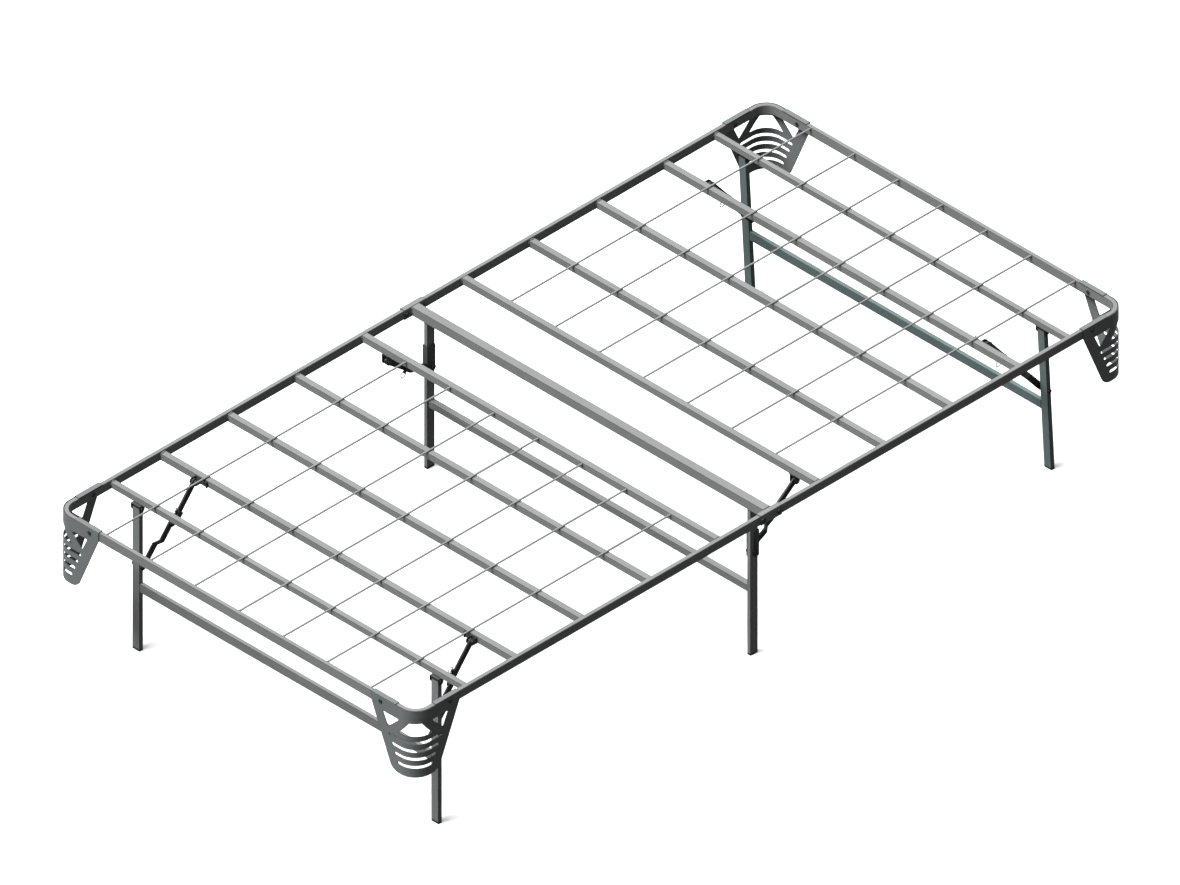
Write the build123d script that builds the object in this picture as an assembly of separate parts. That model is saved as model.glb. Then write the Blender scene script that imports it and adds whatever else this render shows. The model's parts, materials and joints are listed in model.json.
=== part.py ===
from build123d import *
import os
from math import cos, radians, sin

# Folding metal bed frame, millimetres.
# +X runs to the head end, +Y to the far side and +Z up; the origin is on the floor
# under the middle of the bed. Both halves are drawn as the head half and mirrored.

# Overall
HALF_LENGTH = 952.5
HALF_WIDTH = 482.5
TOP = 354.0
CORNER_RADIUS = 38.1
WALL = 1.2
SHEET = 1.5
TUBE_ROUND = 1.5
BEND_RADIUS = 2.0
HOLE_GAP = 0.05
OVERRUN = 5.0
FAR_OUT = 2000.0

# Perimeter tube of one half
RAIL_WIDTH = 10.0
RAIL_HEIGHT = 20.0
RAIL_INNER_Y = HALF_WIDTH - RAIL_WIDTH
RAIL_INNER_X = HALF_LENGTH - RAIL_WIDTH

# Half hinge: one pin per rail end, held by a channel that covers both rail ends
HINGE_X = 21.6
HINGE_DEPTH = 10.0
HINGE_END_RADIUS = 9.8
HINGE_PIN_RADIUS = 4.0
PIN_HEAD_RADIUS = 6.5
PIN_HEAD = 2.5
PIN_TAIL_RADIUS = 5.5
CHANNEL_HALF_LENGTH = 28.0
CHANNEL_GAP = 0.3

# Cross slats, numbered from the end of the bed to its middle
SLAT = 15.0
END_SLAT = 13.0
SLAT_DEPTH = 4.0
SLAT_X = {1: 808.0, 2: 674.0, 3: 494.0, 4: 314.0, 5: 134.0}

# Lengthwise support wires
WIRE_RADIUS = 2.0
WIRE_PITCH = 118.1
WIRES_EACH_SIDE = 3

# Leg tubes
LEG_THIN = 10.0
LEG_WIDE = 20.0
LEG_Y = 400.4
CENTRE_LEG_Y = 433.0
STRETCHER_DEPTH = 196.6
CENTRE_STRETCHER = 15.0
PIVOT_DEPTH = 26.0
PIVOT_X = {"foot": 814.0, "head": 810.0}
LEG_TILT = {"foot": 0.0, "head": 3.24}
CAP_SOLE = 4.0
CAP_PLUG = 14.0
BELOW_FLOOR = -10.0
RIVET_RADIUS = 3.0
RIVET_HEAD_RADIUS = 5.0
RIVET_HEAD = 1.6
CROWN = 0.7
EAR_RADIUS = 7.0

# Folding braces: an upper and a lower flat link that meet at the middle joint
LINK_RADIUS = 6.5
LINK_THICK = 4.0
LINK_GAP = 0.5
BRACE_Y = 371.0
BRACE_TOP_X = 692.0
BRACE_TOP_DEPTH = {"foot": 12.0, "head": 14.5}
BRACE_FOOT = {"foot": 132.0, "head": 142.0}
UPPER_LENGTH = {"foot": 89.6, "head": 87.7}
BRACKET_SPAN = (345.0, 377.0)
BRACKET_TAB = 5.0
CLEVIS_SPAN = (363.5, 377.0)
CENTRE_BRACE_SIDE = {"foot": "far", "head": "near"}
CENTRE_BRACE_Y = 411.0
CENTRE_BRACKET_SPAN = (404.0, 418.0)
CENTRE_TOP = (135.6, 31.0)
CENTRE_MIDDLE = (68.0, 84.0)
CENTRE_FOOT = (0.0, 119.0)
LUG_ABOVE = 50.0
LUG_BELOW = 10.0
LUG_ROUND = 4.0
JOGGLE_START = 50.0
JOGGLE_END = 61.0
LOCK_START = 62.0
LOCK_LENGTH = 17.0
LOCK_PROUD = 4.0
LOCK_ROUND = 2.5
RING_AT = 66.0
RING_OFFSET = 9.5
RING_RADIUS = 6.0
RING_WIRE = 1.0
RING_SHIFT = 1.0
RING_CLEARANCE = 0.7
EYELET_RADIUS = 3.0
EYELET_HALF = 2.0
EYELET_WEB = 2.0
RING_SIDE = {"foot": 1, "head": -1, "centre": 1}

# Corner guards
GUARD_DEPTH = 153.0
GUARD_REACH = 116.8
GUARD_STRAIGHT = 18.6
GUARD_TAPER = 0.42
GUARD_BOTTOM_RADIUS = 26.0
FLANGE_REACH = (53.0, 116.8)
GUARD_RIVET_REACH = 92.5
GUARD_RIVET_RADIUS = 2.5
GUARD_HEAD_RADIUS = 4.5
GUARD_TAIL_RADIUS = 4.0
SLOT_DEPTHS = (74.0, 92.5, 111.0, 129.5)
SLOT_HEIGHT = 7.0
SLOT_MARGIN = 24.0
TRUSS_TOP = 29.0
TRUSS_BOTTOM = 59.0
TRIANGLE_REACH = (42.6, 72.7, 86.7)
WINDOW_TOP = 12.3
WINDOW_BOTTOM = 33.0
WINDOW_CUT = 32.0
OPENING_ROUND = 1.5
ARM_CUT = 150.0

ENDS = {"foot": -1, "head": 1}
SIDES = {"near": -1, "far": 1}


# ---------------------------------------------------------------- small helpers
def span(x, y, z):
    """Box between three (low, high) pairs."""
    size = [high - low for low, high in (x, y, z)]
    middle = [(high + low) / 2 for low, high in (x, y, z)]
    return Pos(*middle) * Box(*size)


def tube(x, y, z, along):
    """Rectangular tube with rounded long edges between (low, high) pairs, open along one axis."""
    inner = {}
    for axis, (low, high) in zip("XYZ", (x, y, z)):
        margin = -OVERRUN if axis == along else WALL
        inner[axis] = (low + margin, high - margin)
    outer = span(x, y, z)
    outer = fillet(outer.edges().filter_by(getattr(Axis, along)), TUBE_ROUND)
    return outer - span(inner["X"], inner["Y"], inner["Z"])


def rod(x, z, radius, y):
    """Round bar along Y."""
    low, high = y
    return Pos(x, (low + high) / 2, z) * Rot(90, 0, 0) * Cylinder(radius, high - low)


def crowned(x, z, radius, seat, crown):
    """Round head along Y, flat on its seat and domed at its crown."""
    disc = rod(x, z, radius, sorted((seat, crown)))
    rims = disc.edges().filter_by(GeomType.CIRCLE).sort_by(Axis.Y)
    rim = rims[-1] if crown > seat else rims[0]
    return fillet(rim, CROWN * abs(crown - seat))


def rivet(x, z, y):
    """Rivet along Y with a domed head outside each end of the gripped stack."""
    low, high = y
    shank = rod(x, z, RIVET_RADIUS, y)
    heads = crowned(x, z, RIVET_HEAD_RADIUS, low, low - RIVET_HEAD)
    heads += crowned(x, z, RIVET_HEAD_RADIUS, high, high + RIVET_HEAD)
    return shank + heads


def at(x, depth):
    """Point in the XZ plane, its depth measured down from the rail top."""
    return Vector(x, 0, TOP - depth)


def placed(shape, end="head", side="far"):
    """Move a shape drawn for the head half's far side to another quarter."""
    if ENDS[end] < 0 and SIDES[side] < 0:
        return Rot(0, 0, 180) * shape
    if ENDS[end] < 0:
        return mirror(shape, about=Plane.YZ)
    if SIDES[side] < 0:
        return mirror(shape, about=Plane.XZ)
    return shape


def group(shapes):
    """Separate solids kept in one node."""
    return Compound([solid for shape in shapes for solid in shape.solids()])


def both_sides(shape):
    return [shape, placed(shape, side="near")]


# ---------------------------------------------------------------- one half's frame
def rail_band(inset):
    """Plan outline of the perimeter tube, shrunk by inset on both faces."""
    outer = RectangleRounded(
        2 * (HALF_LENGTH - inset), 2 * (HALF_WIDTH - inset), CORNER_RADIUS - inset
    )
    inner = RectangleRounded(
        2 * (RAIL_INNER_X + inset),
        2 * (RAIL_INNER_Y + inset),
        CORNER_RADIUS - RAIL_WIDTH + inset,
    )
    return outer - inner


def hinge_end(side_y):
    """Rail end drawn about the hinge pin, so that it turns under the channel."""
    y = (side_y, side_y + RAIL_WIDTH)
    pin_z = TOP - HINGE_DEPTH
    round_end = rod(HINGE_X, pin_z, HINGE_END_RADIUS, y)
    square = span((-OVERRUN, HINGE_X), y, (TOP - RAIL_HEIGHT - OVERRUN, TOP + OVERRUN))
    return square - round_end


def rail(end):
    low = TOP - RAIL_HEIGHT
    solid = extrude(Pos(0, 0, low) * rail_band(0), RAIL_HEIGHT)
    levels = solid.edges().group_by(Axis.Z)
    solid = fillet(levels[0] + levels[-1], TUBE_ROUND)
    hollow = extrude(Pos(0, 0, low + WALL) * rail_band(WALL), RAIL_HEIGHT - 2 * WALL)
    part = solid - hollow
    part &= span((0, 2 * HALF_LENGTH), (-HALF_WIDTH, HALF_WIDTH), (low, TOP))
    for side_y in (RAIL_INNER_Y, -HALF_WIDTH):
        part -= hinge_end(side_y)
        pin_hole = HINGE_PIN_RADIUS + HOLE_GAP
        y = (side_y - OVERRUN, side_y + RAIL_WIDTH + OVERRUN)
        part -= rod(HINGE_X, TOP - HINGE_DEPTH, pin_hole, y)
    for hole in guard_rivet_bars(GUARD_RIVET_RADIUS + HOLE_GAP):
        part -= hole
    return placed(part, end)


def slat(number, end):
    size = END_SLAT if number == 1 else SLAT
    top = TOP if number == 5 else TOP - SLAT_DEPTH
    x = SLAT_X[number]
    shape = tube(
        (x - size / 2, x + size / 2), (-RAIL_INNER_Y, RAIL_INNER_Y), (top - size, top), "Y"
    )
    return placed(shape, end)


def wires(end):
    start = SLAT_X[5] + SLAT / 2
    length = RAIL_INNER_X - start
    rods = []
    for index in range(-WIRES_EACH_SIDE, WIRES_EACH_SIDE + 1):
        place = Pos(start + length / 2, index * WIRE_PITCH, TOP - WIRE_RADIUS)
        rods.append(place * Rot(0, 90, 0) * Cylinder(WIRE_RADIUS, length))
    return placed(group(rods), end)


# ---------------------------------------------------------------- corner guards
def guard_rivet_bars(radius):
    """Bars through the rail at each guard rivet, all four arms of one half."""
    z = TOP - HINGE_DEPTH
    bars = []
    for sign in (1, -1):
        along_x = Pos(RAIL_INNER_X + RAIL_WIDTH / 2, sign * (HALF_WIDTH - GUARD_RIVET_REACH), z)
        bars.append(along_x * Rot(0, 90, 0) * Cylinder(radius, 3 * RAIL_WIDTH))
        along_y = Pos(HALF_LENGTH - GUARD_RIVET_REACH, sign * (RAIL_INNER_Y + RAIL_WIDTH / 2), z)
        bars.append(along_y * Rot(90, 0, 0) * Cylinder(radius, 3 * RAIL_WIDTH))
    return bars


def guard_edge(depth):
    """How far the guard's arm reaches from the corner at one depth."""
    return GUARD_REACH - GUARD_TAPER * max(0.0, depth - GUARD_STRAIGHT)


def arm_outline():
    """Silhouette of one arm: reach from the corner against height."""
    bottom = guard_edge(GUARD_DEPTH)
    points = [
        (-OVERRUN, TOP + SHEET),
        (GUARD_REACH, TOP + SHEET),
        (GUARD_REACH, TOP - GUARD_STRAIGHT),
        (bottom, TOP - GUARD_DEPTH),
        (-OVERRUN, TOP - GUARD_DEPTH),
    ]
    face = make_face(Polyline(*points, close=True))
    corner = face.vertices().sort_by_distance((bottom, TOP - GUARD_DEPTH, 0))[0]
    return fillet(corner, GUARD_BOTTOM_RADIUS)


def end_arm_plane(x):
    """Sketch plane of the arm along the end rail; its x axis is the reach."""
    return Plane(origin=(x, HALF_WIDTH, 0), x_dir=(0, -1, 0), z_dir=(-1, 0, 0))


def side_arm_plane(y):
    """Sketch plane of the arm along the side rail; its x axis is the reach."""
    return Plane(origin=(HALF_LENGTH, y, 0), x_dir=(-1, 0, 0), z_dir=(0, 1, 0))


def guard_openings():
    """Triangles, corner window and the four wrap-round slots of one guard."""
    cuts = []
    near_reach, apex, far_reach = TRIANGLE_REACH
    points = [
        (near_reach, TOP - TRUSS_TOP),
        (far_reach, TOP - TRUSS_TOP),
        (apex, TOP - TRUSS_BOTTOM),
    ]
    triangle = make_face(Polyline(*points, close=True))
    triangle = fillet(triangle.vertices(), OPENING_ROUND)
    cuts.append(extrude(end_arm_plane(HALF_LENGTH) * triangle, OVERRUN, both=True))
    cuts.append(extrude(side_arm_plane(HALF_WIDTH) * triangle, OVERRUN, both=True))
    window = make_face(
        Polyline(
            (-WINDOW_TOP, TOP - TRUSS_TOP),
            (WINDOW_TOP, TOP - TRUSS_TOP),
            (WINDOW_BOTTOM, TOP - TRUSS_BOTTOM),
            (-WINDOW_BOTTOM, TOP - TRUSS_BOTTOM),
            close=True,
        )
    )
    window = fillet(window.vertices(), OPENING_ROUND)
    corner = Plane(
        origin=(HALF_LENGTH, HALF_WIDTH, 0), x_dir=(-1, 1, 0), z_dir=(1, 1, 0)
    )
    cuts.append(extrude(corner * window, WINDOW_CUT, both=True))
    for depth in SLOT_DEPTHS:
        cuts.append(guard_slot(depth))
    return cuts


def guard_slot(depth):
    """One slot that wraps round the corner, with round ends on both arms."""
    reach = guard_edge(depth) - SLOT_MARGIN - SLOT_HEIGHT / 2
    z = TOP - depth
    half = SLOT_HEIGHT / 2
    cut = span(
        (HALF_LENGTH - reach, HALF_LENGTH + OVERRUN),
        (HALF_WIDTH - reach, HALF_WIDTH + OVERRUN),
        (z - half, z + half),
    )
    on_end = Pos(HALF_LENGTH, HALF_WIDTH - reach, z) * Rot(0, 90, 0)
    on_side = Pos(HALF_LENGTH - reach, HALF_WIDTH, z) * Rot(90, 0, 0)
    cut += on_end * Cylinder(half, 2 * OVERRUN)
    cut += on_side * Cylinder(half, 2 * OVERRUN)
    return cut


def guard(end, side):
    """Sheet corner guard: wrapped wall, two top flanges, truss and slots."""
    wall = RectangleRounded(
        2 * (HALF_LENGTH + SHEET), 2 * (HALF_WIDTH + SHEET), CORNER_RADIUS + SHEET
    )
    wall -= RectangleRounded(2 * HALF_LENGTH, 2 * HALF_WIDTH, CORNER_RADIUS)
    shape = extrude(Pos(0, 0, TOP - GUARD_DEPTH) * wall, GUARD_DEPTH + SHEET)
    outline = arm_outline()
    shape &= extrude(end_arm_plane(HALF_LENGTH) * outline, ARM_CUT, both=True)
    shape &= extrude(side_arm_plane(HALF_WIDTH) * outline, ARM_CUT, both=True)
    start, stop = FLANGE_REACH
    shape += span(
        (RAIL_INNER_X, HALF_LENGTH + SHEET / 2),
        (HALF_WIDTH - stop, HALF_WIDTH - start),
        (TOP, TOP + SHEET),
    )
    shape += span(
        (HALF_LENGTH - stop, HALF_LENGTH - start),
        (RAIL_INNER_Y, HALF_WIDTH + SHEET / 2),
        (TOP, TOP + SHEET),
    )
    shape -= arc_top_notch()
    for cut in guard_openings():
        shape -= cut
    for hole in guard_rivet_bars(GUARD_RIVET_RADIUS + HOLE_GAP):
        shape -= hole
    return placed(shape, end, side)


def arc_top_notch():
    """Between the flanges the wall stops level with the rail top."""
    start, _ = FLANGE_REACH
    return span(
        (HALF_LENGTH - start, HALF_LENGTH + OVERRUN),
        (HALF_WIDTH - start, HALF_WIDTH + OVERRUN),
        (TOP, TOP + OVERRUN),
    )


def guard_rivet(place):
    """Rivet along local Z: outer head above the guard, inner head inside the rail."""
    grip = RAIL_WIDTH + SHEET
    shank = Pos(0, 0, -grip / 2) * Cylinder(GUARD_RIVET_RADIUS, grip)
    dome = Pos(0, 0, RIVET_HEAD / 2) * Cylinder(GUARD_HEAD_RADIUS, RIVET_HEAD)
    rim = dome.edges().filter_by(GeomType.CIRCLE).sort_by(Axis.Z)[-1]
    dome = fillet(rim, CROWN * RIVET_HEAD)
    tail = Pos(0, 0, -grip - RIVET_HEAD / 2) * Cylinder(GUARD_TAIL_RADIUS, RIVET_HEAD)
    return place * (shank + dome + tail)


def guard_rivets():
    z = TOP - HINGE_DEPTH
    on_end = Plane(
        origin=(HALF_LENGTH + SHEET, HALF_WIDTH - GUARD_RIVET_REACH, z), z_dir=(1, 0, 0)
    )
    on_side = Plane(
        origin=(HALF_LENGTH - GUARD_RIVET_REACH, HALF_WIDTH + SHEET, z), z_dir=(0, 1, 0)
    )
    shapes = []
    for plane in (on_end, on_side):
        shapes += both_sides(guard_rivet(plane.location))
    return shapes


# ---------------------------------------------------------------- brackets on a half
def ear(x, depth, y, root):
    """Bracket ear: a plate that runs from its root box to a round nose at the pivot."""
    plate = rod(x, TOP - depth, EAR_RADIUS, y)
    return plate + span(root[0], y, root[1])


def leg_bracket(end):
    """Clevis under the end slat; the leg's top turns between its two ears."""
    x = PIVOT_X[end]
    slat_low = TOP - SLAT_DEPTH - END_SLAT
    inner = LEG_Y - LEG_WIDE / 2 - CHANNEL_GAP
    outer = LEG_Y + LEG_WIDE / 2 + CHANNEL_GAP
    sides = (x - EAR_RADIUS, x + EAR_RADIUS)
    plate = span(sides, (inner - SHEET, outer + SHEET), (slat_low - SHEET, slat_low))
    root = (sides, (TOP - PIVOT_DEPTH, slat_low))
    plate += ear(x, PIVOT_DEPTH, (inner - SHEET, inner), root)
    plate += ear(x, PIVOT_DEPTH, (outer, outer + SHEET), root)
    hole = RIVET_RADIUS + HOLE_GAP
    return plate - rod(x, TOP - PIVOT_DEPTH, hole, (inner - OVERRUN, outer + OVERRUN))


def brace_bracket(end):
    """Plate on the second slat's outer face, with a clevis for an end brace's top pivot."""
    face = SLAT_X[2] + SLAT / 2
    low, high = BRACKET_SPAN
    slat_top = TOP - SLAT_DEPTH
    z = (slat_top - SLAT, slat_top - TUBE_ROUND)
    shape = span((face, face + SHEET), (low, high), z)
    shape += span((face, face + BRACKET_TAB), (low, low + SHEET), z)
    root = ((face, BRACE_TOP_X), z)
    low, high = CLEVIS_SPAN
    depth = BRACE_TOP_DEPTH[end]
    for y in ((low, low + SHEET), (high - SHEET, high)):
        shape += ear(BRACE_TOP_X, depth, y, root)
    hole = RIVET_RADIUS + HOLE_GAP
    return shape - rod(BRACE_TOP_X, TOP - depth, hole, (low - OVERRUN, high + OVERRUN))


def centre_brace_bracket():
    """Channel under the fifth slat that holds a centre brace's top pivot."""
    x, depth = CENTRE_TOP
    low, high = CENTRE_BRACKET_SPAN
    slat_low = TOP - SLAT
    sides = (SLAT_X[5] - SLAT / 2, SLAT_X[5] + SLAT / 2)
    shape = span(sides, (low, high), (slat_low - SHEET, slat_low))
    root = ((x - EAR_RADIUS, x + EAR_RADIUS), (TOP - depth, slat_low))
    for y in ((low, low + SHEET), (high - SHEET, high)):
        shape += ear(x, depth, y, root)
    hole = RIVET_RADIUS + HOLE_GAP
    return shape - rod(x, TOP - depth, hole, (low - OVERRUN, high + OVERRUN))


def half_brackets(end):
    shapes = both_sides(leg_bracket(end)) + both_sides(brace_bracket(end))
    shapes.append(placed(centre_brace_bracket(), side=CENTRE_BRACE_SIDE[end]))
    return placed(group(shapes), end)


def half_rivets(end):
    """Every rivet that stays with one half: pivots and corner guards."""
    slack = CHANNEL_GAP + SHEET
    leg_y = (LEG_Y - LEG_WIDE / 2 - slack, LEG_Y + LEG_WIDE / 2 + slack)
    shapes = both_sides(rivet(PIVOT_X[end], TOP - PIVOT_DEPTH, leg_y))
    shapes += both_sides(rivet(BRACE_TOP_X, TOP - BRACE_TOP_DEPTH[end], CLEVIS_SPAN))
    x, depth = CENTRE_TOP
    centre = rivet(x, TOP - depth, CENTRE_BRACKET_SPAN)
    shapes.append(placed(centre, side=CENTRE_BRACE_SIDE[end]))
    return placed(group(shapes + guard_rivets()), end)


# ---------------------------------------------------------------- middle of the bed
def channel(side):
    """Sheet channel over both rail ends, one on each side of the bed."""
    x = (-CHANNEL_HALF_LENGTH, CHANNEL_HALF_LENGTH)
    inner = RAIL_INNER_Y - CHANNEL_GAP
    outer = HALF_WIDTH + CHANNEL_GAP
    low = TOP - RAIL_HEIGHT
    shape = span(x, (inner - SHEET, outer + SHEET), (low, TOP + CHANNEL_GAP + SHEET))
    bends = shape.edges().filter_by(Axis.X).group_by(Axis.Z)[-1]
    shape = fillet(bends, BEND_RADIUS)
    shape -= span(x, (inner, outer), (low, TOP + CHANNEL_GAP))
    hole = HINGE_PIN_RADIUS + HOLE_GAP
    for sign in (1, -1):
        shape -= rod(sign * HINGE_X, TOP - HINGE_DEPTH, hole, (inner - OVERRUN, outer + OVERRUN))
    return placed(shape, side=side)


def crossbar():
    reach = RAIL_INNER_Y - CHANNEL_GAP - SHEET
    half = LEG_WIDE / 2
    low = crossbar_low()
    return tube((-half, half), (-reach, reach), (low, low + LEG_WIDE), "Y")


def crossbar_low():
    """Underside of the crossbar, whose top is level with the hinge channels."""
    return TOP + CHANNEL_GAP + SHEET - LEG_WIDE


def centre_leg(side):
    half = LEG_WIDE / 2
    y = (CENTRE_LEG_Y - LEG_THIN / 2, CENTRE_LEG_Y + LEG_THIN / 2)
    shape = tube((-half, half), y, (CAP_SOLE, crossbar_low()), "Z")
    x, depth = CENTRE_FOOT
    shape -= rod(x, TOP - depth, RIVET_RADIUS + HOLE_GAP, (y[0] - OVERRUN, y[1] + OVERRUN))
    return placed(shape, side=side)


def centre_stretcher():
    half = CENTRE_STRETCHER / 2
    reach = CENTRE_LEG_Y - LEG_THIN / 2
    top = TOP - STRETCHER_DEPTH
    return tube((-half, half), (-reach, reach), (top - CENTRE_STRETCHER, top), "Y")


def cap(x, y, thick_x, thick_y):
    """Plastic cap: a sole flush with the leg tube and a plug inside it."""
    sole_x = (x - thick_x / 2, x + thick_x / 2)
    sole_y = (y - thick_y / 2, y + thick_y / 2)
    sole = span(sole_x, sole_y, (0, CAP_SOLE))
    sole = fillet(sole.edges().filter_by(Axis.Z), TUBE_ROUND)
    plug = span(
        (sole_x[0] + WALL, sole_x[1] - WALL),
        (sole_y[0] + WALL, sole_y[1] - WALL),
        (CAP_SOLE, CAP_SOLE + CAP_PLUG),
    )
    return sole + plug


def centre_caps():
    return group(both_sides(cap(0, CENTRE_LEG_Y, LEG_WIDE, LEG_THIN)))


def centre_lug(end):
    """Channel that hugs one middle leg and backs the middle brace's foot pivot."""
    x, depth = CENTRE_FOOT
    inner = CENTRE_LEG_Y - LEG_THIN / 2
    outer = CENTRE_LEG_Y + LEG_THIN / 2
    edge = LEG_WIDE / 2
    z = (TOP - depth - LUG_BELOW, TOP - depth + LUG_ABOVE)
    web = span((edge, edge + SHEET), (inner - SHEET, outer + SHEET), z)
    flange = span((-edge, edge + SHEET), (inner - SHEET, inner), z)
    flange += span((0, edge + SHEET), (outer, outer + SHEET), z)
    free_edges = flange.edges().filter_by(Axis.Y).group_by(Axis.X)
    flange = fillet(free_edges[0] + free_edges[1], LUG_ROUND)
    plate = web + flange
    plate -= rod(x, TOP - depth, RIVET_RADIUS + HOLE_GAP, (inner - OVERRUN, inner))
    plate -= rod(x, TOP - depth, EAR_RADIUS, (outer, outer + OVERRUN))
    return placed(plate, end, CENTRE_BRACE_SIDE[end])


def hinge_pins():
    """Four headed pins, one through each rail end."""
    inner = RAIL_INNER_Y - CHANNEL_GAP - SHEET
    outer = HALF_WIDTH + CHANNEL_GAP + SHEET
    z = TOP - HINGE_DEPTH
    shapes = []
    for x in (-HINGE_X, HINGE_X):
        pin = rod(x, z, HINGE_PIN_RADIUS, (inner, outer))
        pin += crowned(x, z, PIN_HEAD_RADIUS, outer, outer + PIN_HEAD)
        pin += crowned(x, z, PIN_TAIL_RADIUS, inner, inner - RIVET_HEAD)
        shapes += both_sides(pin)
    return group(shapes)


# ---------------------------------------------------------------- end leg frames
def leg_top(end):
    return at(PIVOT_X[end], PIVOT_DEPTH)


def tilted(shape, end):
    """Turn a leg-frame piece drawn upright about its pivot, to the leg's splay."""
    pivot = leg_top(end)
    turn = Pos(pivot) * Rot(0, -LEG_TILT[end], 0) * Pos(-pivot)
    return turn * shape


def end_leg(end, side):
    """Leg tube with a round top that turns in the clevis and a hole for the brace."""
    x = PIVOT_X[end]
    half = LEG_THIN / 2
    y = (LEG_Y - LEG_WIDE / 2, LEG_Y + LEG_WIDE / 2)
    top = TOP - PIVOT_DEPTH
    shape = span((x - half, x + half), y, (BELOW_FLOOR, top)) + rod(x, top, half, y)
    outlines = shape.edges().group_by(Axis.Y)
    shape = fillet(outlines[0] + outlines[-1], TUBE_ROUND)
    inner_x = (x - half + WALL, x + half - WALL)
    shape -= span(inner_x, (y[0] + WALL, y[1] - WALL), (BELOW_FLOOR, top - half))
    hole = RIVET_RADIUS + HOLE_GAP
    shape -= rod(x, top, hole, (y[0] - OVERRUN, y[1] + OVERRUN))
    shape -= rod(x, top - BRACE_FOOT[end], hole, (y[0] - OVERRUN, y[1] + OVERRUN))
    shape = tilted(shape, end)
    shape &= span((0, FAR_OUT), (0, FAR_OUT), (CAP_SOLE, FAR_OUT))
    return placed(shape, end, side)


def leg_stretcher(end):
    x = PIVOT_X[end]
    half = LEG_THIN / 2
    reach = LEG_Y - LEG_WIDE / 2
    top = TOP - STRETCHER_DEPTH
    shape = tube((x - half, x + half), (-reach, reach), (top - LEG_WIDE, top), "Y")
    return placed(tilted(shape, end), end)


def end_caps(end):
    """Caps of the two end legs, tilted with them and cut level with the floor."""
    x = PIVOT_X[end]
    half_x = LEG_THIN / 2
    half_y = LEG_WIDE / 2
    outline_x = (x - half_x, x + half_x)
    outline_y = (LEG_Y - half_y, LEG_Y + half_y)
    sole = span(outline_x, outline_y, (BELOW_FLOOR, CAP_PLUG))
    sole = tilted(fillet(sole.edges().filter_by(Axis.Z), TUBE_ROUND), end)
    sole &= span((0, FAR_OUT), (0, FAR_OUT), (0, CAP_SOLE))
    inner_x = (outline_x[0] + WALL, outline_x[1] - WALL)
    inner_y = (outline_y[0] + WALL, outline_y[1] - WALL)
    plug = tilted(span(inner_x, inner_y, (BELOW_FLOOR, CAP_SOLE + CAP_PLUG)), end)
    plug &= span((0, FAR_OUT), (0, FAR_OUT), (CAP_SOLE, CAP_SOLE + CAP_PLUG))
    return placed(group(both_sides(sole + plug)), end)


# ---------------------------------------------------------------- folding braces
def link_plane(start, stop, y):
    """Plane of a flat link: x along the link, normal along Y."""
    return Plane(origin=(start.X, y, start.Z), x_dir=stop - start, z_dir=(0, 1, 0))


def edge_plane(start, stop):
    """Plane across a link: x along the link, y along the bed's Y axis."""
    line = (stop - start).normalized()
    return Plane(origin=start, x_dir=line, z_dir=(-line.Z, 0, line.X))


def bar(start, stop, y):
    """Flat bar with round ends between two pivots."""
    low, high = y
    length = (stop - start).length
    outline = Pos(length / 2, 0) * SlotCenterToCenter(length, 2 * LINK_RADIUS)
    return extrude(link_plane(start, stop, low) * outline, high - low)


def eyelet(y_middle, ring_side):
    """Barrel along the link for the pull ring's wire, on a web from the link's edge."""
    offset = -ring_side * RING_OFFSET
    x = (RING_AT - EYELET_HALF, RING_AT + EYELET_HALF)
    y = y_middle - RING_SHIFT
    web = span(x, sorted((0, offset)), (y - EYELET_WEB / 2, y + EYELET_WEB / 2))
    middle = Pos(RING_AT, offset, y) * Rot(0, 90, 0)
    barrel = middle * Cylinder(EYELET_RADIUS, 2 * EYELET_HALF)
    return web + barrel, middle * Cylinder(RING_WIRE + RING_CLEARANCE, 4 * EYELET_HALF)


def upper_link(top, middle, y_middle, ring_side):
    """Upper link with its lock housing, ring eyelet and half of the middle rivet."""
    y = (y_middle - LINK_THICK / 2, y_middle + LINK_THICK / 2)
    shape = bar(top, middle, y)
    plane = link_plane(top, middle, 0)
    housing = span(
        (LOCK_START, LOCK_START + LOCK_LENGTH),
        (-EAR_RADIUS, EAR_RADIUS),
        (y[0] - LOCK_PROUD, y[1]),
    )
    housing = fillet(housing.edges().filter_by(Axis.Z), LOCK_ROUND)
    shape += plane.location * housing
    barrel, wire_hole = eyelet(y_middle, ring_side)
    shape += plane.location * barrel
    shape -= plane.location * wire_hole
    shape -= rod(top.X, top.Z, RIVET_RADIUS + HOLE_GAP, (y[0] - OVERRUN, y[1] + OVERRUN))
    return shape + crowned(middle.X, middle.Z, RIVET_HEAD_RADIUS, y[0], y[0] - RIVET_HEAD)


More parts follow.
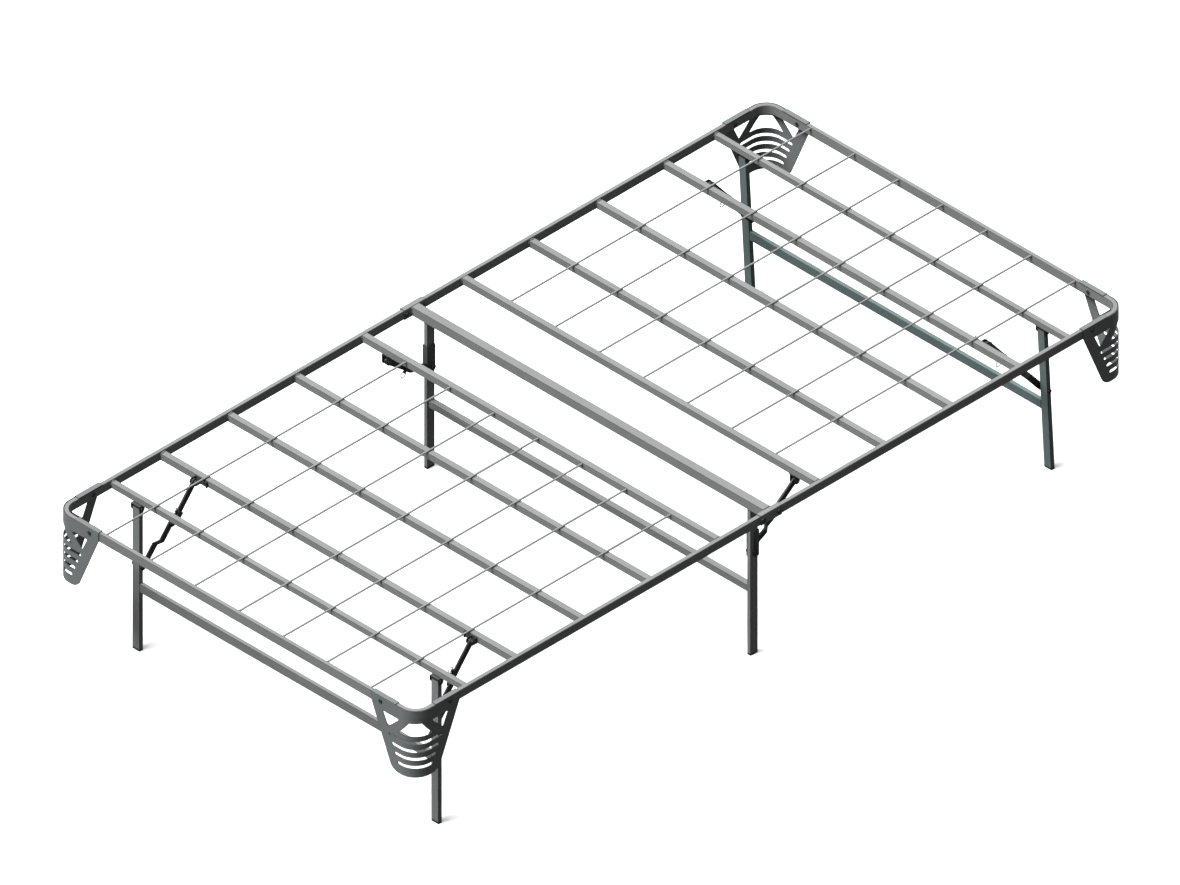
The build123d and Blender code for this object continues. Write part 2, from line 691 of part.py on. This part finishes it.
def lower_link(middle, foot, y_middle, y_foot, leg_far_y):
    """Joggled lower link with its foot rivet, which turns in the leg."""
    half = LINK_THICK / 2
    inner = y_middle + LINK_THICK + LINK_GAP
    start = -2 * LINK_RADIUS
    stop = (middle - foot).length + 2 * LINK_RADIUS
    points = [
        (start, y_foot - half),
        (JOGGLE_START, y_foot - half),
        (JOGGLE_END, inner - half),
        (stop, inner - half),
        (stop, inner + half),
        (JOGGLE_END, inner + half),
        (JOGGLE_START, y_foot + half),
        (start, y_foot + half),
    ]
    profile = make_face(Polyline(*points, close=True))
    strip = extrude(edge_plane(foot, middle) * profile, LINK_RADIUS, both=True)
    shape = strip & bar(foot, middle, (inner - half, y_foot + half))
    hole = RIVET_RADIUS + HOLE_GAP
    shape -= rod(foot.X, foot.Z, hole, (y_foot - OVERRUN, y_foot + OVERRUN))
    seat = inner + half
    shape += crowned(middle.X, middle.Z, RIVET_HEAD_RADIUS, seat, seat + RIVET_HEAD)
    pin = rivet(foot.X, foot.Z, (y_foot - half, leg_far_y))
    return group([shape, pin])


def pull_ring(top, middle, y_middle, ring_side):
    """Wire ring through the upper link's eyelet."""
    offset = -ring_side * (RING_OFFSET + RING_RADIUS)
    centre = (RING_AT, offset, y_middle - RING_SHIFT)
    return link_plane(top, middle, 0).location * Pos(*centre) * Torus(RING_RADIUS, RING_WIRE)


def end_brace_points(end):
    """Top pivot, middle joint and foot pivot of an end brace."""
    top = at(BRACE_TOP_X, BRACE_TOP_DEPTH[end])
    tilt = radians(LEG_TILT[end])
    foot = leg_top(end) + Vector(sin(tilt), 0, -cos(tilt)) * BRACE_FOOT[end]
    middle = top + (foot - top).normalized() * UPPER_LENGTH[end]
    return top, middle, foot


def end_brace(end, side):
    top, middle, foot = end_brace_points(end)
    y_foot = LEG_Y - LEG_WIDE / 2 - LINK_THICK
    far_y = LEG_Y + LEG_WIDE / 2 + LINK_GAP
    ring_side = RING_SIDE[end]
    return {
        "upper_link": placed(upper_link(top, middle, BRACE_Y, ring_side), end, side),
        "lower_link": placed(lower_link(middle, foot, BRACE_Y, y_foot, far_y), end, side),
        "pull_ring": placed(pull_ring(top, middle, BRACE_Y, ring_side), end, side),
    }


def centre_brace(end):
    top, middle, foot = at(*CENTRE_TOP), at(*CENTRE_MIDDLE), at(*CENTRE_FOOT)
    side = CENTRE_BRACE_SIDE[end]
    y_foot = CENTRE_LEG_Y - LEG_THIN / 2 - SHEET - LINK_THICK / 2 - 2 * LINK_GAP
    far_y = CENTRE_LEG_Y + LEG_THIN / 2 + LINK_GAP
    y = CENTRE_BRACE_Y
    ring_side = RING_SIDE["centre"]
    return {
        "upper_link": placed(upper_link(top, middle, y, ring_side), end, side),
        "lower_link": placed(lower_link(middle, foot, y, y_foot, far_y), end, side),
        "pull_ring": placed(pull_ring(top, middle, y, ring_side), end, side),
    }


# ---------------------------------------------------------------- all sub-parts
def half_nodes(end):
    nodes = {f"{end}_rail": rail(end)}
    for number in SLAT_X:
        nodes[f"{end}_slat_{number}"] = slat(number, end)
    nodes[f"{end}_wires"] = wires(end)
    for side in SIDES:
        nodes[f"{end}_guard_{side}"] = guard(end, side)
    nodes[f"{end}_brackets"] = half_brackets(end)
    nodes[f"{end}_rivets"] = half_rivets(end)
    return nodes


def leg_frame_nodes(end):
    nodes = {f"{end}_leg_{side}": end_leg(end, side) for side in SIDES}
    nodes[f"{end}_leg_stretcher"] = leg_stretcher(end)
    nodes[f"{end}_leg_caps"] = end_caps(end)
    return nodes


def brace_nodes(end):
    nodes = {}
    for side in SIDES:
        for name, shape in end_brace(end, side).items():
            nodes[f"{end}_{side}_{name}"] = shape
    for name, shape in centre_brace(end).items():
        nodes[f"centre_{end}_{name}"] = shape
    return nodes


def centre_nodes():
    nodes = {"centre_crossbar": crossbar(), "centre_stretcher": centre_stretcher()}
    for side in SIDES:
        nodes[f"hinge_channel_{side}"] = channel(side)
        nodes[f"centre_leg_{side}"] = centre_leg(side)
    nodes["centre_leg_caps"] = centre_caps()
    nodes["centre_brace_plates"] = group([centre_lug(end) for end in ENDS])
    nodes["hinge_pins"] = hinge_pins()
    return nodes


def main():
    os.makedirs("parts", exist_ok=True)
    nodes = centre_nodes()
    for end in ENDS:
        nodes |= half_nodes(end) | leg_frame_nodes(end) | brace_nodes(end)
    for name, shape in nodes.items():
        export_step(shape, f"parts/{name}.step")
        print(name, len(shape.solids()), round(shape.volume / 1000, 2))
    print(len(nodes), "nodes")


main()
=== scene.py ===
import json
import math
import random

import bmesh
import bpy
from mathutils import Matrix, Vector


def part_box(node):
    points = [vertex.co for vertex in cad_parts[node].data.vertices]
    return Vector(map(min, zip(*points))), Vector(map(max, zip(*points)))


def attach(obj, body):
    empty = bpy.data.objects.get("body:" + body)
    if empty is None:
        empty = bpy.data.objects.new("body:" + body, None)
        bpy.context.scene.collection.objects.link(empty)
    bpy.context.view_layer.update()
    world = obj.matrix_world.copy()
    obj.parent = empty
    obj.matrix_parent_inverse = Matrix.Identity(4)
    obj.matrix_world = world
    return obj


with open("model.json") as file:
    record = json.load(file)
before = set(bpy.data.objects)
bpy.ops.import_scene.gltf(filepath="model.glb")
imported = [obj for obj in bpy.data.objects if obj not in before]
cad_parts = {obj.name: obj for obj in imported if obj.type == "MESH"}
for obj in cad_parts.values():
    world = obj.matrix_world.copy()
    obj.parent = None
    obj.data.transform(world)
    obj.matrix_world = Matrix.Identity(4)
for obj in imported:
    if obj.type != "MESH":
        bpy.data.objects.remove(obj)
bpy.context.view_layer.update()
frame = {"nodes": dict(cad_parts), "record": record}
NODES = frame["nodes"]
SLOT_OF = {row["node"]: row["material_slot"] for row in frame["record"]["subparts"]}
MM = 0.001
ENDS = ("foot", "head")
NUMBERS = range(1, 6)
WIRE_COUNT = 7
dice = random.Random(7)

# camera and studio
CAMERA_DISTANCE = 6
VIEW_WIDTH = 2.236
AIM_BELOW_TOP = 0.0824
AIM_LEFT = 0.0017
GROUND_HEIGHT = -2.5
PLANE_HALF = 14

# weld sizes
SLAT_BEAD = 2.2 * MM
STRETCHER_BEAD = 1.8 * MM
LEG_BEAD = 2.0 * MM
TUBE_ROUND = 1.5 * MM
BEAD_INSET = 1.2 * MM

# weld shapes, as shares of a bead's or nugget's own size
BEAD_ACROSS = 6
BEAD_STEP = 0.35
BEAD_RIPPLE = 0.14
BEAD_JITTER = 0.08
BEAD_HOLLOW = 0.22
BEAD_ROOT = 0.1
NUGGET_AROUND = 10
NUGGET_LEVELS = 3


# ---------------------------------------------------------------- places read from the frame
def box(name):
    low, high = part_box(name)
    return Vector(low), Vector(high)


RAIL_LOW, RAIL_HIGH = box("head_rail")
RAIL_TOP = RAIL_HIGH.z
RAIL_WIDTH = (RAIL_HIGH.z - RAIL_LOW.z) / 2
INNER_Y = RAIL_HIGH.y - RAIL_WIDTH
INNER_X = RAIL_HIGH.x - RAIL_WIDTH


# ---------------------------------------------------------------- camera and light
def make_camera():
    """Isometric view from the foot end's near corner, as the drawing shows it."""
    azimuth = math.radians(-45)
    elevation = math.atan(1 / math.sqrt(2))
    back = Vector(
        (
            math.sin(azimuth) * math.cos(elevation),
            -math.cos(azimuth) * math.cos(elevation),
            math.sin(elevation),
        )
    )
    right = Vector((math.cos(azimuth), math.sin(azimuth), 0))
    data = bpy.data.cameras.new("view_camera")
    data.type = "ORTHO"
    data.ortho_scale = VIEW_WIDTH
    camera = bpy.data.objects.new("view_camera", data)
    aim = Vector((0, 0, RAIL_TOP - AIM_BELOW_TOP)) - right * AIM_LEFT
    camera.location = aim + back * CAMERA_DISTANCE
    camera.rotation_mode = "QUATERNION"
    camera.rotation_quaternion = (-back).to_track_quat("-Z", "Y")
    data.clip_end = 40
    bpy.context.scene.collection.objects.link(camera)
    bpy.context.scene.camera = camera


def soft_light(name, towards, strength, spread_deg, colour=(1, 1, 1)):
    """Far soft light: the same over the whole bed, with wide soft shadows."""
    data = bpy.data.lights.new(name, "SUN")
    data.energy = strength
    data.angle = math.radians(spread_deg)
    data.color = colour
    lamp = bpy.data.objects.new(name, data)
    lamp.location = Vector(towards) * 4
    lamp.rotation_mode = "QUATERNION"
    lamp.rotation_quaternion = (-Vector(towards)).to_track_quat("-Z", "Y")
    bpy.context.scene.collection.objects.link(lamp)


def make_studio():
    """Soft key from above and the foot end; a surround that is dim on the near side."""
    soft_light("key", (-0.42, 0.17, 0.89), 5.7, 34)
    world = bpy.data.worlds.new("studio")
    world.use_nodes = True
    tree = world.node_tree
    sky = tree.nodes["Background"]
    sky.inputs["Color"].default_value = (1, 1, 1, 1)
    direction = tree.nodes.new("ShaderNodeTexCoord").outputs["Generated"]
    split = tree.nodes.new("ShaderNodeSeparateXYZ")
    tree.links.new(direction, split.inputs["Vector"])
    side = math_node(tree, "ADD", split.outputs["X"], split.outputs["Y"])
    away = spread(tree, side, 0.035, 0.36, -0.6, 1.2)
    up = spread(tree, split.outputs["Z"], 0.0, 0.12, 0.2, 0.9)
    tree.links.new(math_node(tree, "ADD", away, up), sky.inputs["Strength"])
    bpy.context.scene.world = world
    bpy.context.scene.view_settings.view_transform = "Standard"


def stage_plane(name, height, glow):
    """Large pale plane that the camera sees but that throws no light on the object."""
    mesh = bpy.data.meshes.new(name)
    half = PLANE_HALF
    corners = [
        (-half, -half, height),
        (half, -half, height),
        (half, half, height),
        (-half, half, height),
    ]
    mesh.from_pydata(corners, [], [(0, 1, 2, 3)])
    plane = bpy.data.objects.new(name, mesh)
    bpy.context.scene.collection.objects.link(plane)
    material, _, shader = new_material(name + "_paint")
    shader.inputs["Base Color"].default_value = (0.93, 0.93, 0.925, 1)
    shader.inputs["Roughness"].default_value = 0.9
    shader.inputs["Emission Color"].default_value = (1, 1, 1, 1)
    shader.inputs["Emission Strength"].default_value = glow
    plane.data.materials.append(material)
    plane.visible_diffuse = False
    plane.visible_glossy = False


def make_floor():
    """The floor, and a paler ground far below it for views that start under the floor."""
    stage_plane("studio_floor", 0, 0.3)
    stage_plane("studio_ground", GROUND_HEIGHT, 1.0)


# ---------------------------------------------------------------- material helpers
def new_material(name):
    material = bpy.data.materials.new(name)
    material.use_nodes = True
    tree = material.node_tree
    return material, tree, tree.nodes["Principled BSDF"]


def node(tree, kind, **inputs):
    made = tree.nodes.new(kind)
    for key, value in inputs.items():
        made.inputs[key.replace("_", " ")].default_value = value
    return made


def noise(tree, coords, scale, detail=3.0, roughness=0.55):
    made = node(tree, "ShaderNodeTexNoise", Scale=scale, Detail=detail, Roughness=roughness)
    tree.links.new(coords, made.inputs["Vector"])
    return made.outputs["Fac"]


def ramp(tree, value, stops):
    """Colour ramp from (position, colour) stops."""
    made = tree.nodes.new("ShaderNodeValToRGB")
    elements = made.color_ramp.elements
    while len(elements) < len(stops):
        elements.new(0.5)
    for element, (position, colour) in zip(elements, stops):
        element.position = position
        element.color = (*colour, 1)
    tree.links.new(value, made.inputs["Fac"])
    return made.outputs["Color"]


def tones(tree, value, base, low, high, start=0.3, stop=0.7):
    """Ramp between two strengths of one colour."""
    darker = [c * low for c in base]
    lighter = [c * high for c in base]
    return ramp(tree, value, [(start, darker), (stop, lighter)])


def spread(tree, value, low, high, from_low=0.0, from_high=1.0):
    """Map from_low..from_high to low..high."""
    made = node(tree, "ShaderNodeMapRange")
    made.inputs["From Min"].default_value = from_low
    made.inputs["From Max"].default_value = from_high
    made.inputs["To Min"].default_value = low
    made.inputs["To Max"].default_value = high
    tree.links.new(value, made.inputs["Value"])
    return made.outputs["Result"]


def mixed(tree, factor, a, b):
    """Colour a to colour b by a factor, each a colour or a link."""
    made = tree.nodes.new("ShaderNodeMix")
    made.data_type = "RGBA"
    if isinstance(factor, float):
        made.inputs["Factor"].default_value = factor
    else:
        tree.links.new(factor, made.inputs["Factor"])
    for socket, value in (("A", a), ("B", b)):
        slot = [s for s in made.inputs if s.name == socket and s.type == "RGBA"][0]
        if isinstance(value, tuple):
            slot.default_value = (*value, 1)
        else:
            tree.links.new(value, slot)
    return [s for s in made.outputs if s.type == "RGBA"][0]


def math_node(tree, operation, a, b=None):
    made = tree.nodes.new("ShaderNodeMath")
    made.operation = operation
    for index, value in enumerate((a, b)):
        if value is None:
            continue
        if isinstance(value, (int, float)):
            made.inputs[index].default_value = value
        else:
            tree.links.new(value, made.inputs[index])
    return made.outputs["Value"]


def object_coords(tree):
    return tree.nodes.new("ShaderNodeTexCoord").outputs["Object"]


def edge_mask(tree, radius, low, high):
    """1 on edges, 0 on flats, from the bevelled normal against the true one."""
    bevel = node(tree, "ShaderNodeBevel", Radius=radius)
    bevel.samples = 8
    geometry = tree.nodes.new("ShaderNodeNewGeometry")
    dot = tree.nodes.new("ShaderNodeVectorMath")
    dot.operation = "DOT_PRODUCT"
    tree.links.new(bevel.outputs["Normal"], dot.inputs[0])
    tree.links.new(geometry.outputs["True Normal"], dot.inputs[1])
    gap = math_node(tree, "SUBTRACT", 1.0, dot.outputs["Value"])
    return spread(tree, gap, 0.0, 1.0, low, high)


def round_edges(tree, upright):
    """1 along a tube's rounded edges, from how far its normal leans between two faces."""
    split = tree.nodes.new("ShaderNodeSeparateXYZ")
    normal = tree.nodes.new("ShaderNodeTexCoord").outputs["Normal"]
    tree.links.new(normal, split.inputs["Vector"])
    squares = [math_node(tree, "POWER", split.outputs[axis], 2.0) for axis in "XYZ"]
    level = math_node(tree, "MULTIPLY", squares[2], math_node(tree, "SUBTRACT", 1.0, squares[2]))
    if upright:
        plan = math_node(tree, "MULTIPLY", squares[0], squares[1])
        level = math_node(tree, "ADD", level, plan)
    return spread(tree, level, 0.0, 1.0, 0.02, 0.12)


def bump(tree, heights):
    """Chain of bumps from (height, strength, distance) rows, over a softly bevelled normal."""
    bevel = node(tree, "ShaderNodeBevel", Radius=0.0006)
    bevel.samples = 4
    normal = bevel.outputs["Normal"]
    for height, strength, distance in heights:
        made = node(tree, "ShaderNodeBump", Strength=strength, Distance=distance)
        tree.links.new(height, made.inputs["Height"])
        tree.links.new(normal, made.inputs["Normal"])
        normal = made.outputs["Normal"]
    return normal


def painted_crevice_shade(tree, distance, strength):
    """Painted shade from ambient occlusion: strong in joints and inside corners, nothing on open
    faces.
    """
    open_sky = node(tree, "ShaderNodeAmbientOcclusion", Distance=distance)
    open_sky.samples = 6
    return spread(tree, open_sky.outputs["AO"], strength, 0.0, 0.35, 0.95)


# ---------------------------------------------------------------- materials
def powder_coat(name, base, outline_and_shade, roughness, peel_strength=0.22, tube=None):
    """Powder coat on steel: orange peel, drift of tone, dark outlined edges, and painted shade in
    joints and inside corners.
    """
    material, tree, shader = new_material(name)
    coords = object_coords(tree)
    drift = noise(tree, coords, 7, 4)
    fleck = noise(tree, coords, 520, 2)
    coat = mixed(tree, 0.4, tones(tree, drift, base, 0.9, 1.1), tones(tree, fleck, base, 0.8, 1.2))
    scuffs = noise(tree, coords, 48, 5, 0.7)
    edges = edge_mask(tree, 0.002, 0.01, 0.09)
    if tube:
        edges = math_node(tree, "MAXIMUM", edges, round_edges(tree, tube == "straight"))
    edges = math_node(tree, "MULTIPLY", edges, spread(tree, scuffs, 0.7, 1.0))
    outlined = mixed(tree, edges, coat, outline_and_shade)
    # painted shade: the coat darkened towards the outline colour in joints and inside corners,
    # from ambient occlusion
    shaded_in_joints = mixed(tree, painted_crevice_shade(tree, 0.006, 0.65), outlined, outline_and_shade)
    rubbed = spread(tree, scuffs, 0.0, 0.3, 0.58, 0.72)
    colour = mixed(tree, rubbed, shaded_in_joints, tuple(min(1.0, c * 1.35) for c in base))
    tree.links.new(colour, shader.inputs["Base Color"])
    rough = math_node(
        tree,
        "ADD",
        spread(tree, drift, roughness - 0.06, roughness + 0.08),
        spread(tree, scuffs, 0.05, -0.05),
    )
    tree.links.new(rough, shader.inputs["Roughness"])
    shader.inputs["Metallic"].default_value = 0.1
    shader.inputs["Specular IOR Level"].default_value = 0.4
    peel = noise(tree, coords, 380, 2)
    waves = noise(tree, coords, 90, 3)
    rows = [(waves, 0.12, 0.0008), (peel, peel_strength, 0.0004)]
    tree.links.new(bump(tree, rows), shader.inputs["Normal"])
    return material


def plated_steel(name, base, roughness, scale, metallic=0.85):
    """Plated steel with blotchy crystals and painted shade darkening its seams and hollows."""
    material, tree, shader = new_material(name)
    coords = object_coords(tree)
    cells = node(tree, "ShaderNodeTexVoronoi", Scale=scale)
    tree.links.new(coords, cells.inputs["Vector"])
    blotch = noise(tree, coords, scale * 0.4, 4)
    patina = math_node(tree, "MULTIPLY", cells.outputs["Distance"], blotch)
    plating = tones(tree, patina, base, 0.72, 1.15, 0.05, 0.5)
    # painted shade: darkened to 0.15 of the base in seams and hollows, from ambient occlusion
    colour = mixed(tree, painted_crevice_shade(tree, 0.003, 0.8), plating, tuple(c * 0.15 for c in base))
    tree.links.new(colour, shader.inputs["Base Color"])
    tree.links.new(
        spread(tree, blotch, roughness - 0.08, roughness + 0.12), shader.inputs["Roughness"]
    )
    shader.inputs["Metallic"].default_value = metallic
    fine = noise(tree, coords, scale * 1.5, 2)
    tree.links.new(bump(tree, [(fine, 0.2, 0.0003)]), shader.inputs["Normal"])
    return material


def moulded_plastic(name, base):
    """Moulded plastic: fine grain, scuffed sole."""
    material, tree, shader = new_material(name)
    coords = object_coords(tree)
    grain = noise(tree, coords, 600, 2)
    smear = noise(tree, coords, 70, 4)
    tree.links.new(tones(tree, smear, base, 0.8, 1.6), shader.inputs["Base Color"])
    tree.links.new(spread(tree, smear, 0.5, 0.7), shader.inputs["Roughness"])
    tree.links.new(bump(tree, [(grain, 0.35, 0.0003)]), shader.inputs["Normal"])
    return material


def weld_metal(name, base):
    """Coated weld bead: the frame's coat, lumpier, with painted shade between its ripples."""
    material, tree, shader = new_material(name)
    coords = object_coords(tree)
    lumps = noise(tree, coords, 260, 4, 0.7)
    coat = tones(tree, lumps, base, 0.7, 1.2)
    # painted shade: darkened between the ripples, from ambient occlusion
    ripple_shade = painted_crevice_shade(tree, 0.003, 0.7)
    colour = mixed(tree, ripple_shade, coat, tuple(c * 0.3 for c in base))
    tree.links.new(colour, shader.inputs["Base Color"])
    tree.links.new(spread(tree, lumps, 0.4, 0.62), shader.inputs["Roughness"])
    shader.inputs["Metallic"].default_value = 0.1
    tree.links.new(bump(tree, [(lumps, 0.5, 0.0006)]), shader.inputs["Normal"])
    return material


GREY = (0.25, 0.258, 0.257)
# darker, teal-tinted copy of the frame's grey: painted shade and a painted teal reflection for the
# head legs
SHADED_TEAL_GREY = (0.165, 0.225, 0.22)
GUARD_GREY = (0.205, 0.222, 0.223)
BRACKET_GREY = (0.085, 0.09, 0.09)
WIRE_GREY = (0.31, 0.32, 0.32)
# near-black for the drawn edge outlines, and also the colour of the painted shade in joints and
# corners
OUTLINE_AND_SHADE_DARK = (0.022, 0.024, 0.025)
BLACK = (0.03, 0.03, 0.032)
MATERIALS = {
    "frame_coat": powder_coat("graphite_powder_coat", GREY, OUTLINE_AND_SHADE_DARK, 0.5, tube="straight"),
    "guard_coat": powder_coat("guard_powder_coat", GUARD_GREY, OUTLINE_AND_SHADE_DARK, 0.46),
    "brace_steel": powder_coat("black_brace_coat", BLACK, (0.004, 0.004, 0.004), 0.45, 0.15),
    "rivets": plated_steel("blackened_rivets", (0.075, 0.078, 0.08), 0.42, 500, 0.6),
    "bare_wire": plated_steel("bright_wire", (0.74, 0.75, 0.755), 0.34, 500, 0.3),
    "foot_caps": moulded_plastic("black_cap_plastic", (0.02, 0.02, 0.021)),
}
# the frame coat again in the darker teal copy: painted shade and painted teal reflection on the
# head legs and their stretcher
HEAD_LEG_SHADED_COAT = powder_coat(
    "head_leg_shaded_powder_coat", SHADED_TEAL_GREY, (0.012, 0.02, 0.019), 0.5, tube="straight"
)
RAIL_COAT = powder_coat("rail_powder_coat", GREY, OUTLINE_AND_SHADE_DARK, 0.5, tube="bent")
WIRE_COAT = powder_coat("wire_powder_coat", WIRE_GREY, OUTLINE_AND_SHADE_DARK, 0.42, 0.12)
BRACKET_COAT = powder_coat("bracket_powder_coat", BRACKET_GREY, (0.01, 0.011, 0.011), 0.48)
WELD = weld_metal("weld_bead_coat", (0.2, 0.208, 0.207))


OWN_COATS = {
    "head_leg_near": HEAD_LEG_SHADED_COAT,
    "head_leg_far": HEAD_LEG_SHADED_COAT,
    "head_leg_stretcher": HEAD_LEG_SHADED_COAT,
    "foot_rail": RAIL_COAT,
    "head_rail": RAIL_COAT,
    "foot_wires": WIRE_COAT,
    "head_wires": WIRE_COAT,
    "foot_brackets": BRACKET_COAT,
    "head_brackets": BRACKET_COAT,
    "centre_brace_plates": BRACKET_COAT,
}


def dress_nodes():
    """Give each CAD node its slot's material, or the coat of its own that the list names."""
    for name, shape in NODES.items():
        shape.data.materials.clear()
        shape.data.materials.append(OWN_COATS.get(name, MATERIALS[SLOT_OF[name]]))


# ---------------------------------------------------------------- weld beads
def bead(points, corner, out_a, out_b, size, vertices, faces):
    """Rippled fillet bead between two faces at right angles, added to a mesh."""
    start, stop = points
    run = stop - start
    rings = max(3, int(run.length / (BEAD_STEP * size)))
    across = BEAD_ACROSS
    first = len(vertices)
    for ring in range(rings + 1):
        share = ring / rings
        taper = min(1.0, 4.5 * min(share, 1 - share) + 0.25)
        jitter = dice.uniform(-BEAD_JITTER, BEAD_JITTER)
        ripple = 1 + BEAD_RIPPLE * math.sin(ring * 2.1) + jitter
        radius = size * taper * ripple
        middle = start + run * share + corner
        for step in range(across + 1):
            angle = math.pi / 2 * step / across
            bulge = 1 - BEAD_HOLLOW * math.sin(2 * angle)
            reach = out_a * math.cos(angle) + out_b * math.sin(angle)
            vertices.append(middle + reach * radius * bulge)
        vertices.append(middle - (out_a + out_b) * BEAD_ROOT * size)
    width = across + 2
    for ring in range(rings):
        for step in range(width):
            a = first + ring * width + step
            b = first + ring * width + (step + 1) % width
            faces.append((a, b, b + width, a + width))
    faces.append([first + step for step in reversed(range(width))])
    faces.append([first + rings * width + step for step in range(width)])


def weld_object(name, body, vertices, faces):
    """Smooth closed shells as one object that rides with one body."""
    mesh = bpy.data.meshes.new(name)
    mesh.from_pydata(vertices, [], faces)
    shells = bmesh.new()
    shells.from_mesh(mesh)
    bmesh.ops.recalc_face_normals(shells, faces=shells.faces)
    shells.to_mesh(mesh)
    shells.free()
    mesh.shade_smooth()
    mesh.materials.append(WELD)
    piece = bpy.data.objects.new(name, mesh)
    bpy.context.scene.collection.objects.link(piece)
    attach(piece, body)


def weld_piece(name, body, beads):
    """One object made of several beads."""
    vertices, faces = [], []
    for row in beads:
        bead(*row, vertices, faces)
    weld_object(name, body, vertices, faces)


X = Vector((1, 0, 0))
Y = Vector((0, 1, 0))
Z = Vector((0, 0, 1))


def bar_end_beads(name, wall_y, size, sides=("top", "low_x", "high_x")):
    """Beads round a cross tube where its two ends meet walls at +-wall_y."""
    low, high = box(name)
    inset = BEAD_INSET
    rows = []
    for sign in (-1, 1):
        wall = Vector((0, sign * wall_y, 0))
        inward = -sign * Y
        if "top" in sides:
            ends = (Vector((low.x + inset, 0, high.z)), Vector((high.x - inset, 0, high.z)))
            rows.append((ends, wall, inward, Z, size))
        for key, x, out in (("low_x", low.x, -X), ("high_x", high.x, X)):
            if key in sides:
                ends = (Vector((x, 0, low.z + inset)), Vector((x, 0, high.z - inset)))
                rows.append((ends, wall, inward, out, size))
    return rows


def slat_beads(end):
    rows = []
    for number in NUMBERS:
        sides = ("low_x", "high_x") if number == 5 else ("top", "low_x", "high_x")
        rows += bar_end_beads(f"{end}_slat_{number}", INNER_Y, SLAT_BEAD, sides)
    return rows


def stretcher_beads(name, leg):
    """Beads over and under a level stretcher where it meets its two upright legs."""
    low, high = box(name)
    wall_y = min(abs(c) for c in (box(leg)[0].y, box(leg)[1].y))
    inset = TUBE_ROUND
    rows = []
    for sign in (-1, 1):
        wall = Vector((0, sign * wall_y, 0))
        for z, out in ((high.z, Z), (low.z, -Z)):
            ends = (Vector((low.x + inset, 0, z)), Vector((high.x - inset, 0, z)))
            rows.append((ends, wall, -sign * Y, out, STRETCHER_BEAD))
    return rows


def centre_beads():
    low, high = box("centre_crossbar")
    rows = bar_end_beads("centre_crossbar", high.y, SLAT_BEAD, ("low_x", "high_x"))
    for leg in ("centre_leg_near", "centre_leg_far"):
        leg_low, leg_high = box(leg)
        for y, out in ((leg_low.y, -Y), (leg_high.y, Y)):
            start = Vector((leg_low.x + TUBE_ROUND, y, 0))
            stop = Vector((leg_high.x - TUBE_ROUND, y, 0))
            rows.append(((start, stop), Vector((0, 0, low.z)), -Z, out, LEG_BEAD))
    return rows + stretcher_beads("centre_stretcher", "centre_leg_far")


# ---------------------------------------------------------------- wire spot welds
def nugget(place, across_x, across_y, height, vertices, faces):
    """Flattened dome of squeezed metal, with an uneven skirt."""
    first = len(vertices)
    around, levels = NUGGET_AROUND, NUGGET_LEVELS
    phase = dice.uniform(0, math.tau)
    for level in range(levels):
        tilt = math.pi / 2 * level / levels
        for step in range(around):
            turn = math.tau * step / around
            wobble = 1 + 0.1 * math.sin(3 * turn + phase) + dice.uniform(-0.05, 0.05)
            flat = math.cos(tilt) * wobble
            vertices.append(
                place
                + Vector(
                    (
                        across_x * flat * math.cos(turn),
                        across_y * flat * math.sin(turn),
                        height * math.sin(tilt),
                    )
                )
            )
    vertices.append(place + Z * height)
    for level in range(levels - 1):
        for step in range(around):
            a = first + level * around + step
            b = first + level * around + (step + 1) % around
            faces.append((a, b, b + around, a + around))
    ring = first + (levels - 1) * around
    for step in range(around):
        faces.append((ring + step, ring + (step + 1) % around, first + levels * around))
    faces.append([first + step for step in reversed(range(around))])


def wire_lines():
    """Y of every wire, from the outermost two and their even pitch."""
    low, high = box("head_wires")
    radius = (high.z - low.z) / 2
    outer = high.y - radius
    pitch = 2 * outer / (WIRE_COUNT - 1)
    return [outer - pitch * index for index in range(WIRE_COUNT)], radius


def wire_nuggets(end):
    """Spot welds where the wires lie over the slats and butt on the rail and last slat."""
    lines, radius = wire_lines()
    vertices, faces = [], []
    sign = -1 if end == "foot" else 1
    for y in lines:
        for number in (1, 2, 3, 4):
            low, high = box(f"{end}_slat_{number}")
            place = Vector(((low.x + high.x) / 2, y, high.z))
            nugget(place, 3.4 * MM, 1.35 * radius, 0.9 * radius, vertices, faces)
        low, high = box(f"{end}_slat_5")
        face_x = low.x if end == "foot" else high.x
        for x in (face_x, sign * INNER_X):
            inward = sign if x == face_x else -sign
            place = Vector((x + inward * 1.2 * MM, y, RAIL_TOP - 2 * radius))
            nugget(place, 2.4 * MM, 1.5 * radius, 1.7 * radius, vertices, faces)
    weld_object(f"{end}_wire_welds", f"{end}_half", vertices, faces)


def make_welds():
    for end in ENDS:
        weld_piece(f"{end}_slat_welds", f"{end}_half", slat_beads(end))
        wire_nuggets(end)
    weld_piece("centre_welds", "centre_frame", centre_beads())
    weld_piece(
        "foot_leg_welds", "foot_leg_frame", stretcher_beads("foot_leg_stretcher", "foot_leg_far")
    )


def main():
    make_camera()
    make_studio()
    make_floor()
    dress_nodes()
    make_welds()


main()
